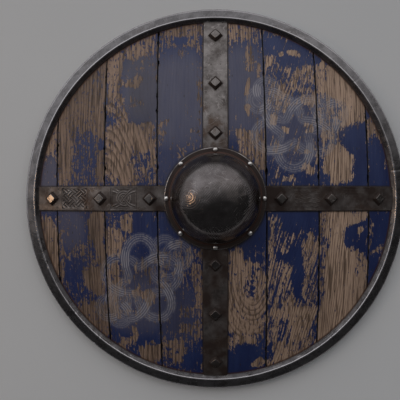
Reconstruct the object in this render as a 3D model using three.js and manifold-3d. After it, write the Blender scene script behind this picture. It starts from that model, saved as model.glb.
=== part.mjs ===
// A round wooden shield in the northern manner, lying on its rim with the boss up.
//
// Eight boards make one shallow dish, held round the edge by a folded steel rim and across the face by four
// steel straps. Lozenge-headed studs nail the straps through the boards, and the left strap carries two
// knotwork panels. A domed boss covers the hand hole: eight rivets hold its flange, which is notched below
// for the straps. A wooden grip crosses the hole behind, held by the inner studs of the side straps.
//
// Millimetres. +Z points out of the shield's face and +Y to its top, and the origin is the middle of the
// circle that the rim rests on.

import * as THREE from "three";
import { mergeVertices } from "three/addons/utils/BufferGeometryUtils.js";
import Module from "manifold-3d";

const wasm = await Module();
wasm.setup();

// ---- Driving dimensions ----

const GAP = 0.3; // air between pieces that touch
const FACET_SAG = 0.5; // a faceted board's back falls this far below the true dish

const SHIELD_RADIUS = 380; // outside of the rim
const DISH_RADIUS = 1070; // sphere that the boards' faces lie on

const PLANK_THICKNESS = 9;
const PLANK_RADIUS = 374; // the boards end inside the rim
const SEAMS = [-312.5, -213.5, -110, -13, 97, 199.5, 301.5]; // x of the joints between boards
const SEAM_WIDTH = 1.2;
const SEAM_LEAN = 0.65; // degrees that the boards lean, tops to the left
const HAND_HOLE_RADIUS = 66;

const RIM_SHEET = 2; // thickness of the steel that the rim is folded from
const RIM_FOOT_RADIUS = 351.5; // where the inner bevel meets the boards
const RIM_RIDGE_RADIUS = 358.5;
const RIM_RIDGE_RISE = 10; // ridge above the foot
const RIM_OUTER_DROP = 12; // ridge above the outer corner
const RIM_CORNER = 2; // bevel of the outer corners
const RIM_LIP_RADIUS = 357; // inner edge of the lip behind the boards

const STRAP_WIDTH = 48;
const STRAP_THICKNESS = 2;
const STRAP_START = 84; // distances from the shield's axis
const STRAP_END = 357;

const PANEL_LENGTH = 53; // knotwork panels, along the strap and across it
const PANEL_WIDTH = 40;
const PANEL_DEPTH = 0.8;
const PANEL_RADII = { inner: 175, outer: 275 }; // distances of their middles from the axis
const PLAIT_COLUMNS = 4;
const PLAIT_ROWS = 3;
const PLAIT_STRAND = 5; // width of a strand
const RING_RADIUS = 11; // ring of the looped panel

const STUD_RADII = [124.5, 222, 322]; // distances of a strap's studs from the axis
const STUD_BASE = 28; // across the points of the lozenge
const STUD_TOP = 17;
const STUD_RISE = 5.5;
const STUD_EDGE = 1; // upright edge round the foot of a stud's bevels

const BOSS_RADIUS = 85; // foot of the dome
const BOSS_RISE = 80;
const BOSS_SHEET = 2;
const BOSS_FILLET = 3;
const FLANGE_RADIUS = 97;
const FLANGE_THICKNESS = 4.2;

const RIVET_CIRCLE = 92;
const RIVET_COUNT = 8;
const RIVET_HEAD_RADIUS = 4.7;
const RIVET_HEAD_RISE = 3.4;

const SHANK_RADIUS = 2.4; // nails and rivets alike
const CLENCH_RADIUS = 4.4; // flattened end of a shank
const CLENCH_THICKNESS = 1.4;

const GRIP_HALF_LENGTH = 250;
const GRIP_WIDTH = 32;
const GRIP_THICKNESS = 11; // towards the ends
const GRIP_SWELL = 14; // more than that in the hand
const GRIP_SWELL_HALF_LENGTH = 75;

const RIM_FACETS = 52; // a multiple of four, so that the rim is as wide as it is tall
const BOSS_FACETS = 32;
const RIVET_FACETS = 8;
const NAIL_FACETS = 4; // the studs' nails are square

// ---- The dish ----

const sagitta = (r) => DISH_RADIUS - Math.sqrt(DISH_RADIUS ** 2 - r ** 2);
const BEHIND = GAP + FACET_SAG; // air behind the boards
const PLANK_EDGE_Z = RIM_SHEET + BEHIND + PLANK_THICKNESS;
const APEX_Z = PLANK_EDGE_Z + sagitta(PLANK_RADIUS);
const faceZ = (r) => APEX_Z - sagitta(r);

// Bends a flat geometry onto the dish, so that its z becomes a height above the boards' faces.
function dish(geometry) {
  const position = geometry.getAttribute("position");
  for (let i = 0; i < position.count; i++) {
    const r = Math.hypot(position.getX(i), position.getY(i));
    position.setZ(i, position.getZ(i) + faceZ(r));
  }
  return geometry;
}

// ---- Solids ----

function solid(geometry) {
  const bare = geometry.clone();
  bare.deleteAttribute("normal");
  bare.deleteAttribute("uv");
  const merged = mergeVertices(bare, 1e-3);
  const vertProperties = merged.getAttribute("position").array;
  const triVerts = new Uint32Array(merged.index.array);
  return new wasm.Manifold(new wasm.Mesh({ numProp: 3, vertProperties, triVerts }));
}

function geometryOf(manifold) {
  const mesh = manifold.getMesh();
  const geometry = new THREE.BufferGeometry();
  geometry.setAttribute("position", new THREE.BufferAttribute(mesh.vertProperties, 3));
  geometry.setIndex(new THREE.BufferAttribute(mesh.triVerts, 1));
  geometry.computeVertexNormals();
  return geometry;
}

const cut = (body, tools) => tools.reduce((left, tool) => left.subtract(tool), body);

const at = (r, z) => new THREE.Vector2(r, z);

// A profile of (radius, height) points turned about +Z.
const turned = (profile, facets) => new THREE.LatheGeometry(profile, facets).rotateX(Math.PI / 2);

const upright = (radius, length, facets) =>
  new THREE.CylinderGeometry(radius, radius, length, facets).rotateX(Math.PI / 2);

// A bar on the dish, `length` along X from `start`, between two heights above the boards' faces.
function bar(start, length, width, low, high, steps) {
  const box = new THREE.BoxGeometry(length, width, high - low, steps, 2, 1);
  box.translate(start + length / 2, 0, (low + high) / 2);
  return solid(dish(box));
}

// ---- Materials ----

const metal = (color, roughness) => new THREE.MeshStandardMaterial({ color, roughness, metalness: 1 });
const wood = (color, roughness) => new THREE.MeshStandardMaterial({ color, roughness, metalness: 0 });

const PAINTED_BOARD = wood(0x4a4a5e, 0.6);
const RIM_STEEL = metal(0x6c6a6c, 0.35);
const STRAP_STEEL = metal(0x57534f, 0.45);
const STUD_STEEL = metal(0x67625d, 0.4);
const BOSS_STEEL = metal(0x4f4b49, 0.35);
const RIVET_STEEL = metal(0xa6a29c, 0.25);
const GRIP_WOOD = wood(0x6c543c, 0.65);

// ---- Fasteners ----

// A frame on the boards' faces whose z axis is the dish's normal.
function seat(x, y) {
  const normal = new THREE.Vector3(x, y, Math.sqrt(DISH_RADIUS ** 2 - x ** 2 - y ** 2)).normalize();
  const frame = new THREE.Object3D();
  frame.position.set(x, y, faceZ(Math.hypot(x, y)));
  frame.quaternion.setFromUnitVectors(new THREE.Vector3(0, 0, 1), normal);
  frame.updateMatrix();
  return frame;
}

function shankHole(x, y, facets) {
  const LENGTH = 100; // more than any fastener goes through
  const radius = SHANK_RADIUS + GAP / Math.cos(Math.PI / facets);
  return solid(upright(radius, LENGTH, facets).applyMatrix4(seat(x, y).matrix));
}

const polar = (r, angle) => [r * Math.cos(angle), r * Math.sin(angle)];
const SIDES = { right: 0, top: Math.PI / 2, left: Math.PI, bottom: (3 * Math.PI) / 2 };
const rivetPlaces = Array.from({ length: RIVET_COUNT }, (_, i) =>
  polar(RIVET_CIRCLE, (i * 2 * Math.PI) / RIVET_COUNT),
);
const studPlaces = Object.values(SIDES).flatMap((angle) => STUD_RADII.map((r) => polar(r, angle)));
const rivetHoles = rivetPlaces.map(([x, y]) => shankHole(x, y, RIVET_FACETS));
const studHoles = studPlaces.map(([x, y]) => shankHole(x, y, NAIL_FACETS));

// A shank's profile, from the middle of its clenched end up to the underside of its head.
function shankProfile(headZ, clenchZ) {
  return [
    at(0, clenchZ - CLENCH_THICKNESS),
    at(CLENCH_RADIUS, clenchZ - CLENCH_THICKNESS),
    at(CLENCH_RADIUS, clenchZ),
    at(SHANK_RADIUS, clenchZ),
    at(SHANK_RADIUS, headZ),
  ];
}

// ---- Boards ----

const HOLE_LENGTH = 4 * SHIELD_RADIUS; // of the tools that cut right through

function plank(left, right) {
  const FACET_LENGTH = 42;
  const length = 2 * SHIELD_RADIUS;
  const steps = Math.round(length / FACET_LENGTH);
  const board = new THREE.BoxGeometry(right - left, length, PLANK_THICKNESS, 2, steps, 1);
  board.translate((left + right) / 2, 0, -PLANK_THICKNESS / 2);
  board.rotateZ(THREE.MathUtils.degToRad(SEAM_LEAN));
  return cut(solid(dish(board)).intersect(solid(upright(PLANK_RADIUS, HOLE_LENGTH, RIM_FACETS))), [
    solid(upright(HAND_HOLE_RADIUS, HOLE_LENGTH, BOSS_FACETS / 2)),
    ...rivetHoles,
    ...studHoles,
  ]);
}

const edges = [-SHIELD_RADIUS, ...SEAMS, SHIELD_RADIUS];
const planks = edges.slice(1).map((right, i) => plank(edges[i] + SEAM_WIDTH / 2, right - SEAM_WIDTH / 2));

// ---- Straps ----

const STRAP_TOP = GAP + STRAP_THICKNESS;
const OVER = 1; // how far a cutting tool stands out of what it cuts

// A lozenge-shaped pit between the strands of a plait.
function pit(x, y, halfLength, halfWidth) {
  const prism = new THREE.CylinderGeometry(1, 1, PANEL_DEPTH + OVER, 4).rotateX(Math.PI / 2);
  prism.scale(halfLength, halfWidth, 1);
  prism.translate(x, y, STRAP_TOP + (OVER - PANEL_DEPTH) / 2);
  return solid(dish(prism));
}

// Pits that leave a plait standing. Its strands cross at every other point of a grid of half cells, and
// the pits lie between; those on the panel's edge are cut in half by it.
function plait(middle) {
  const halfCellLength = PANEL_LENGTH / PLAIT_COLUMNS / 2;
  const halfCellWidth = PANEL_WIDTH / PLAIT_ROWS / 2;
  const spare = 1 - PLAIT_STRAND / (Math.SQRT2 * halfCellLength);
  const panel = bar(middle - PANEL_LENGTH / 2, PANEL_LENGTH, PANEL_WIDTH, 0, STRAP_TOP + 2 * OVER, 1);
  const pits = [];
  for (let column = 0; column <= 2 * PLAIT_COLUMNS; column++) {
    for (let row = column % 2; row <= 2 * PLAIT_ROWS; row += 2) {
      const x = middle - PANEL_LENGTH / 2 + column * halfCellLength;
      const y = -PANEL_WIDTH / 2 + row * halfCellWidth;
      pits.push(pit(x, y, halfCellLength * spare, halfCellWidth * spare).intersect(panel));
    }
  }
  return pits;
}

// A sunk panel that leaves a ring and the two bands that pass through it standing.
function loopedPanel(middle) {
  const low = STRAP_TOP - PANEL_DEPTH;
  const high = STRAP_TOP + OVER;
  const half = PLAIT_STRAND / 2;
  const ring = [
    at(RING_RADIUS - half, low - OVER),
    at(RING_RADIUS + half, low - OVER),
    at(RING_RADIUS + half, high + OVER),
    at(RING_RADIUS - half, high + OVER),
    at(RING_RADIUS - half, low - OVER),
  ];
  const kept = [solid(dish(turned(ring, 12).translate(middle, 0, 0)))];
  for (const side of [-1, 1]) {
    const band = new THREE.BoxGeometry(PANEL_LENGTH * 2, PLAIT_STRAND, high - low + 2 * OVER, 4, 1, 1);
    band.rotateZ(side * Math.atan2(PANEL_WIDTH, PANEL_LENGTH));
    band.translate(middle, 0, (low + high) / 2);
    kept.push(solid(dish(band)));
  }
  return cut(bar(middle - PANEL_LENGTH / 2, PANEL_LENGTH, PANEL_WIDTH, low, high, 2), kept);
}

// A strap as it lies along +X, with its holes and whatever is carved into it.
function strap(carving) {
  const length = STRAP_END - STRAP_START;
  const nailHoles = STUD_RADII.map((r) => shankHole(r, 0, NAIL_FACETS));
  const rivetHole = shankHole(RIVET_CIRCLE, 0, RIVET_FACETS);
  return cut(bar(STRAP_START, length, STRAP_WIDTH, GAP, STRAP_TOP, 8), [rivetHole, ...nailHoles, ...carving]);
}

const STRAP_CARVING = {
  right: [],
  top: [],
  left: [loopedPanel(PANEL_RADII.inner), ...plait(PANEL_RADII.outer)],
  bottom: [],
};

// Room for a strap under the flange or the rim, turned to its side of the shield.
function strapRoom(start, length, angle) {
  const room = bar(start, length, STRAP_WIDTH + 2 * GAP, -OVER, STRAP_TOP + GAP, 1);
  return room.rotate([0, 0, THREE.MathUtils.radToDeg(angle)]);
}

const strapRooms = (start, length) => Object.values(SIDES).map((angle) => strapRoom(start, length, angle));

// ---- Rim ----

// A folded channel round the boards' edge: flat foot, outer wall, outer slope, ridge and inner bevel.
function rim() {
  const lipZ = faceZ(RIM_LIP_RADIUS) - PLANK_THICKNESS - BEHIND;
  const footZ = faceZ(RIM_FOOT_RADIUS) + GAP;
  const ridgeZ = footZ + RIM_RIDGE_RISE;
  const cornerZ = ridgeZ - RIM_OUTER_DROP;
  const wallInside = SHIELD_RADIUS - RIM_SHEET;
  const profile = [
    at(RIM_LIP_RADIUS, lipZ - RIM_SHEET),
    at(PLANK_RADIUS - RIM_CORNER, 0),
    at(SHIELD_RADIUS - RIM_CORNER, 0),
    at(SHIELD_RADIUS, RIM_CORNER),
    at(SHIELD_RADIUS, cornerZ - RIM_CORNER),
    at(SHIELD_RADIUS - RIM_CORNER, cornerZ),
    at(RIM_RIDGE_RADIUS, ridgeZ),
    at(RIM_FOOT_RADIUS, footZ),
    at(RIM_FOOT_RADIUS + RIM_SHEET, footZ),
    at(RIM_RIDGE_RADIUS + RIM_SHEET / 2, ridgeZ - 1.25 * RIM_SHEET),
    at(wallInside, cornerZ - 1.25 * RIM_SHEET),
    at(wallInside, RIM_SHEET),
    at(PLANK_RADIUS - RIM_CORNER, RIM_SHEET),
    at(RIM_LIP_RADIUS, lipZ),
    at(RIM_LIP_RADIUS, lipZ - RIM_SHEET),
  ];
  return cut(solid(turned(profile, RIM_FACETS)), strapRooms(RIM_FOOT_RADIUS - 10, 17));
}

// ---- Boss ----

// Points of a dome's side from its foot to its crown.
function domeCurve(radius, footZ, rise, steps) {
  return Array.from({ length: steps + 1 }, (_, i) => {
    const angle = (i / steps) * (Math.PI / 2);
    return at(i === steps ? 0 : radius * Math.cos(angle), footZ + rise * Math.sin(angle));
  });
}

function boss() {
  const insideRadius = BOSS_RADIUS - BOSS_SHEET;
  const top = (r) => faceZ(r) + GAP + FLANGE_THICKNESS;
  const filletRadius = BOSS_RADIUS + BOSS_FILLET;
  const footZ = top(filletRadius) + BOSS_FILLET;
  const crownRise = BOSS_RISE - BOSS_FILLET;
  const profile = [
    ...domeCurve(insideRadius, footZ, crownRise - BOSS_SHEET, 5).reverse(),
    at(insideRadius, faceZ(insideRadius) + GAP),
    at(FLANGE_RADIUS, faceZ(FLANGE_RADIUS) + GAP),
    at(FLANGE_RADIUS, top(FLANGE_RADIUS)),
    at(filletRadius, top(filletRadius)),
    at(filletRadius - 0.7 * BOSS_FILLET, footZ - 0.7 * BOSS_FILLET),
    ...domeCurve(BOSS_RADIUS, footZ, crownRise, 7),
  ];
  return cut(solid(turned(profile, BOSS_FACETS)), [
    ...strapRooms(insideRadius - 5, FLANGE_RADIUS - insideRadius + 10),
    ...rivetHoles,
  ]);
}

// ---- Grip ----

function gripThickness(x) {
  const reach = Math.min(1, Math.abs(x) / GRIP_SWELL_HALF_LENGTH);
  return GRIP_THICKNESS + GRIP_SWELL * Math.cos((reach * Math.PI) / 2) ** 2;
}

// A bar of eight-sided section that lies along the boards' backs and swells in the hand.
function grip() {
  const CORNER = 0.22; // share of the section that its bevels take
  const outline = new THREE.Shape(
    [
      [-1, -1 + CORNER],
      [-1 + 2 * CORNER, -1],
      [1 - 2 * CORNER, -1],
      [1, -1 + CORNER],
      [1, -CORNER],
      [1 - 2 * CORNER, 0],
      [-1 + 2 * CORNER, 0],
      [-1, -CORNER],
    ].map(([across, down]) => at(across, down)),
  );
  const length = 2 * GRIP_HALF_LENGTH;
  const bars = new THREE.ExtrudeGeometry(outline, { depth: length, steps: 12, bevelEnabled: false });
  const position = bars.getAttribute("position");
  for (let i = 0; i < position.count; i++) {
    const x = position.getZ(i) - GRIP_HALF_LENGTH;
    const topZ = faceZ(x) - PLANK_THICKNESS - BEHIND;
    position.setXYZ(i, x, (position.getX(i) * GRIP_WIDTH) / 2, topZ + position.getY(i) * gripThickness(x));
  }
  return cut(solid(bars), [...studHoles, ...rivetHoles]);
}

// ---- Assembly ----

const shield = new THREE.Group();

function add(name, geometry, material, parent = shield) {
  const mesh = new THREE.Mesh(geometry, material);
  mesh.name = name;
  parent.add(mesh);
  return mesh;
}

// A fastener seated at (x, y): its head's profile stands on `headZ`, its shank ends below at `clenchZ`.
function addFastener(name, x, y, head, headZ, clenchZ, facets, material) {
  const profile = [...shankProfile(headZ, clenchZ), ...head.map((point) => at(point.x, headZ + point.y))];
  const mesh = add(name, turned(profile, facets), material);
  const frame = seat(x, y);
  mesh.position.copy(frame.position);
  mesh.quaternion.copy(frame.quaternion);
  return mesh;
}

planks.forEach((board, i) => add(`plank_${i + 1}`, geometryOf(board), PAINTED_BOARD));
add("rim", geometryOf(rim()), RIM_STEEL);
add("boss", geometryOf(boss()), BOSS_STEEL);
add("grip", geometryOf(grip()), GRIP_WOOD);

for (const [side, angle] of Object.entries(SIDES)) {
  const mesh = add(`strap_${side}`, geometryOf(strap(STRAP_CARVING[side])), STRAP_STEEL);
  mesh.rotation.z = angle;
}

// Where a shank at (x, y) is clenched: behind the boards, or behind the grip where that lies in its way.
function clenchHeight(x, y) {
  const throughGrip = Math.abs(y) < GRIP_WIDTH / 2 && Math.abs(x) < GRIP_HALF_LENGTH;
  return -PLANK_THICKNESS - BEHIND - (throughGrip ? gripThickness(x) + BEHIND : 0);
}

// Studs: a lozenge-shaped head is a cone of four facets, its points along and across the strap.
const STUD_HEAD = [
  at(STUD_BASE / 2, 0),
  at(STUD_BASE / 2, STUD_EDGE),
  at(STUD_TOP / 2, STUD_RISE),
  at(0, STUD_RISE),
];
for (const [side, angle] of Object.entries(SIDES)) {
  STUD_RADII.forEach((r, i) => {
    const [x, y] = polar(r, angle);
    const clenchZ = clenchHeight(x, y);
    addFastener(`stud_${side}_${i + 1}`, x, y, STUD_HEAD, STRAP_TOP + GAP, clenchZ, NAIL_FACETS, STUD_STEEL);
  });
}

const RIVET_HEAD = domeCurve(RIVET_HEAD_RADIUS, 0, RIVET_HEAD_RISE, 2);
rivetPlaces.forEach(([x, y], i) => {
  const headZ = 2 * GAP + FLANGE_THICKNESS;
  const clenchZ = clenchHeight(x, y);
  addFastener(`boss_rivet_${i + 1}`, x, y, RIVET_HEAD, headZ, clenchZ, RIVET_FACETS, RIVET_STEEL);
});

export default shield;
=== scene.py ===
"""The looks of the round wooden shield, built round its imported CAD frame, in the frame's axes.

Meshes are worked out in millimetres. Materials, lights and the camera are in metres."""

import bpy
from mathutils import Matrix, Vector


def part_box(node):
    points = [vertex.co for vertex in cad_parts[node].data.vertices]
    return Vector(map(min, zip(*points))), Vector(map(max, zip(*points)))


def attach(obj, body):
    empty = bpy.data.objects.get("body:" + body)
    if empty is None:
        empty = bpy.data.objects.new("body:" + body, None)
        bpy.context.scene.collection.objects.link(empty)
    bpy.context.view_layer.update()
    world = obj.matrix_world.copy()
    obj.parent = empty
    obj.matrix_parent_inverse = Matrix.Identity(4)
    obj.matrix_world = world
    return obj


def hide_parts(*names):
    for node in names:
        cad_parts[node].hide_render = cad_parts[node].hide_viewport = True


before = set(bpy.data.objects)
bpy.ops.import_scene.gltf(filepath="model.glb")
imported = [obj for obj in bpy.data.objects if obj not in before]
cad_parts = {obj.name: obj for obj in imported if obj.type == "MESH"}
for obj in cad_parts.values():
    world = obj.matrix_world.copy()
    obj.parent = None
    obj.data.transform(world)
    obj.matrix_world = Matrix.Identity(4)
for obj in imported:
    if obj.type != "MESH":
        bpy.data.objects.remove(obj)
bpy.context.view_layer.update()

import math

import bpy
import numpy as np

MM = 0.001
BODY = "root"

# ---- The CAD's dimensions ----

DISH_RADIUS = 1070
PLANK_THICKNESS = 9
SEAMS = [-312.5, -213.5, -110, -13, 97, 199.5, 301.5]
SEAM_LEAN = math.radians(0.65)
HAND_HOLE_RADIUS = 66
STRAP_START, STRAP_END = 84, 357
STRAP_WIDTH = 48
STRAP_GAP = 0.3  # between the boards' faces and what lies on them
STRAP_TOP = 2.3  # above the boards' faces
BACK_GAP = 0.8  # between the boards' backs and what lies against them
FLANGE_TOP = 4.5
FLANGE_RADIUS = 97
BOSS_RADIUS = 85
RIM_FOOT_RADIUS = 351.5
STUD_RADII = [124.5, 222, 322]
RIVET_RADIUS = 92
SIDES = {"right": 0.0, "top": math.pi / 2, "left": math.pi, "bottom": 1.5 * math.pi}


def sagitta(r):
    return DISH_RADIUS - np.sqrt(DISH_RADIUS**2 - np.asarray(r, float) ** 2)


APEX_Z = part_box("strap_top")[1].z / MM - STRAP_TOP + sagitta(STRAP_START)
RIM_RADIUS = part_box("rim")[1].x / MM
CROWN_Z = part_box("boss")[1].z / MM


def face_z(r):
    """Height of the boards' faces at a distance from the shield's axis."""
    return APEX_Z - sagitta(r)


# ---- Noise on arrays of points ----


def lattice(ix, iy, seed):
    """A repeatable number from -1 to 1 for each whole-numbered point."""
    h = np.sin(ix * 127.1 + iy * 311.7 + seed * 74.7) * 43758.5453
    return 2 * (h - np.floor(h)) - 1


def noise2(x, y, cell, seed, octaves=3):
    """Smooth noise, mostly from -1 to 1, whose coarsest features are `cell` across."""
    total, weight, gain = 0.0, 0.0, 1.0
    for octave in range(octaves):
        fx, fy = x / cell + 17.3 * octave, y / cell + 5.1 * octave
        ix, iy = np.floor(fx), np.floor(fy)
        tx, ty = fx - ix, fy - iy
        sx, sy = tx * tx * (3 - 2 * tx), ty * ty * (3 - 2 * ty)
        low = lattice(ix, iy, seed) * (1 - sx) + lattice(ix + 1, iy, seed) * sx
        high = lattice(ix, iy + 1, seed) * (1 - sx) + lattice(ix + 1, iy + 1, seed) * sx
        total = total + gain * (low * (1 - sy) + high * sy)
        weight += gain
        gain, cell = gain * 0.5, cell * 0.5
    return 1.6 * total / weight


def smooth(low, high, x):
    t = np.clip((x - low) / (high - low), 0, 1)
    return t * t * (3 - 2 * t)


# ---- Meshes ----


def mesh_object(name, points, quads, attributes=None, caps=()):
    """A smooth-shaded object from points, quads and cap triangles, with a number or vector per point."""
    mesh = bpy.data.meshes.new(name)
    quads = np.asarray(quads, np.int32).reshape(-1, 4)
    caps = np.asarray(caps, np.int32).reshape(-1, 3)
    loops = np.concatenate([quads.ravel(), caps.ravel()])
    sizes = np.repeat([4, 3], [len(quads), len(caps)])
    mesh.vertices.add(len(points))
    mesh.vertices.foreach_set("co", (np.asarray(points) * MM).astype(np.float32).ravel())
    mesh.loops.add(len(loops))
    mesh.loops.foreach_set("vertex_index", loops)
    mesh.polygons.add(len(sizes))
    mesh.polygons.foreach_set("loop_start", (np.cumsum(sizes) - sizes).astype(np.int32))
    mesh.polygons.foreach_set("loop_total", sizes.astype(np.int32))
    mesh.update(calc_edges=True)
    mesh.validate()
    mesh.shade_smooth()
    for key, values in (attributes or {}).items():
        values = np.asarray(values, np.float32)
        kind, field = ("FLOAT_VECTOR", "vector") if values.ndim == 2 else ("FLOAT", "value")
        mesh.attributes.new(key, kind, "POINT").data.foreach_set(field, values.ravel())
    piece = bpy.data.objects.new(name, mesh)
    bpy.context.scene.collection.objects.link(piece)
    return piece


def place(piece, material, slot, *nodes):
    """Dresses a piece and hands it to the frame as what stands for those CAD nodes."""
    piece.data.materials.append(material)
    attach(piece, BODY)
    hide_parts(*nodes)


def grid_quads(rows, columns, wrap=False, wrap_rows=False):
    """Quads of a grid of points numbered row by row, closed along its rows, its columns or both."""
    i = np.arange(rows if wrap_rows else rows - 1)[:, None]
    j = np.arange(columns if wrap else columns - 1)[None, :]
    below, beside = (i + 1) % rows, (j + 1) % columns
    corners = [i * columns + j, i * columns + beside, below * columns + beside, below * columns + j]
    return np.stack(np.broadcast_arrays(*corners), -1).reshape(-1, 4)


def tube(rows, columns):
    """Quads of a grid closed along its rows, and triangles over its ends from two points after its own."""
    a = np.arange(columns)
    b = (a + 1) % columns
    first, last, middle = 0, (rows - 1) * columns, np.full(columns, rows * columns)
    start = np.stack([middle, first + b, first + a], -1)
    end = np.stack([middle + 1, last + a, last + b], -1)
    return grid_quads(rows, columns, wrap=True), np.concatenate([start, end])


def slab(top, bottom, quads):
    """Closes a sheet of quads over `top` and the same sheet under it at `bottom`: points and quads."""
    count = len(top)
    edges = np.concatenate([quads[:, [a, (a + 1) % 4]] for a in range(4)])
    keys = set(map(tuple, edges.tolist()))
    border = np.array([e for e in edges.tolist() if (e[1], e[0]) not in keys])
    walls = np.stack([border[:, 1], border[:, 0], border[:, 0] + count, border[:, 1] + count], -1)
    return np.concatenate([top, bottom]), np.concatenate([quads, quads[:, ::-1] + count, walls])


def drop_unused(points, quads, attributes):
    """Leaves out the points that no quad uses."""
    used = np.unique(quads)
    renumber = np.zeros(len(points), int)
    renumber[used] = np.arange(len(used))
    return points[used], renumber[quads], {key: values[used] for key, values in attributes.items()}


# ---- Node materials ----


class Graph:
    """A material's node tree, with short calls for the nodes that it uses."""

    def __init__(self, name):
        self.material = bpy.data.materials.new(name)
        self.material.use_nodes = True
        self.tree = self.material.node_tree
        self.tree.nodes.clear()
        self.shader = self.tree.nodes.new("ShaderNodeBsdfPrincipled")
        output = self.tree.nodes.new("ShaderNodeOutputMaterial")
        self.tree.links.new(self.shader.outputs["BSDF"], output.inputs["Surface"])

    def set(self, socket, value):
        if isinstance(value, bpy.types.NodeSocket):
            self.tree.links.new(value, socket)
        elif isinstance(value, tuple) and len(value) == 3 and socket.type == "RGBA":
            socket.default_value = (*value, 1)
        else:
            socket.default_value = value

    def shade(self, **values):
        for key, value in values.items():
            self.set(self.shader.inputs[key.replace("_", " ")], value)

    def node(self, kind, inputs, **settings):
        made = self.tree.nodes.new(f"ShaderNode{kind}")
        for key, value in settings.items():
            setattr(made, key, value)
        for key, value in inputs.items():
            self.set(made.inputs[key], value)
        return made

    def math(self, operation, *values, clamp=False):
        inputs = dict(enumerate(values))
        return self.node("Math", inputs, operation=operation, use_clamp=clamp).outputs[0]

    def all(self, operation, values):
        """One two-input operation over several numbers, from the first on."""
        total, *rest = values
        for value in rest:
            total = self.math(operation, total, value)
        return total

    def add(self, *values):
        return self.all("ADD", values)

    def mul(self, *values):
        return self.all("MULTIPLY", values)

    def most(self, *values):
        return self.all("MAXIMUM", values)

    def less(self, a, b):
        return self.math("SUBTRACT", a, b)

    def length(self, x, y):
        return self.math("SQRT", self.add(self.mul(x, x), self.mul(y, y)))

    def step(self, value, low, high):
        """Rises smoothly from 0 at `low` to 1 at `high`, or falls if `high` is lower."""
        up = low < high
        inputs = {"Value": value, "From Min": min(low, high), "From Max": max(low, high)}
        inputs.update({"To Min": 0.0 if up else 1.0, "To Max": 1.0 if up else 0.0})
        return self.node("MapRange", inputs, interpolation_type="SMOOTHSTEP").outputs[0]

    def number(self, name):
        return self.node("Attribute", {}, attribute_name=name).outputs["Fac"]

    def vector(self, name):
        return self.node("Attribute", {}, attribute_name=name).outputs["Vector"]

    def place(self):
        return self.node("NewGeometry", {}).outputs["Position"]

    def scaled(self, vector, x, y, z):
        return self.node("VectorMath", {0: vector, 1: (x, y, z)}, operation="MULTIPLY").outputs[0]

    def split(self, vector):
        return self.node("SeparateXYZ", {0: vector}).outputs

    def join(self, x, y, z):
        return self.node("CombineXYZ", {0: x, 1: y, 2: z}).outputs[0]

    def noise(self, vector, scale, detail=3.0, rough=0.5, warp=0.0):
        """Noise whose scale is one number, or one for each of the vector's three."""
        if isinstance(scale, tuple):
            vector, scale = self.scaled(vector, *scale), 1.0
        inputs = {"Vector": vector, "Scale": scale, "Detail": detail, "Roughness": rough, "Distortion": warp}
        return self.node("TexNoise", inputs).outputs["Fac"]

    def cells(self, vector, scale):
        inputs = {"Vector": vector, "Scale": scale}
        return self.node("TexVoronoi", inputs).outputs["Distance"]

    def mix(self, share, a, b, blend="MIX"):
        made = self.node("Mix", {}, data_type="RGBA", blend_type=blend)
        for socket, value in ((made.inputs[0], share), (made.inputs[6], a), (made.inputs[7], b)):
            self.set(socket, value)
        return made.outputs[2]

    def blend(self, share, a, b):
        """Goes from number a to number b with `share`."""
        return self.node("Mix", {0: share, 2: a, 3: b}, data_type="FLOAT").outputs[0]

    def bump(self, height, distance, strength=1.0, below=None):
        inputs = {"Height": height, "Distance": distance, "Strength": strength}
        if below is not None:
            inputs["Normal"] = below
        return self.node("Bump", inputs).outputs["Normal"]


# ---- Boards: where the paint has worn off ----

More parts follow.
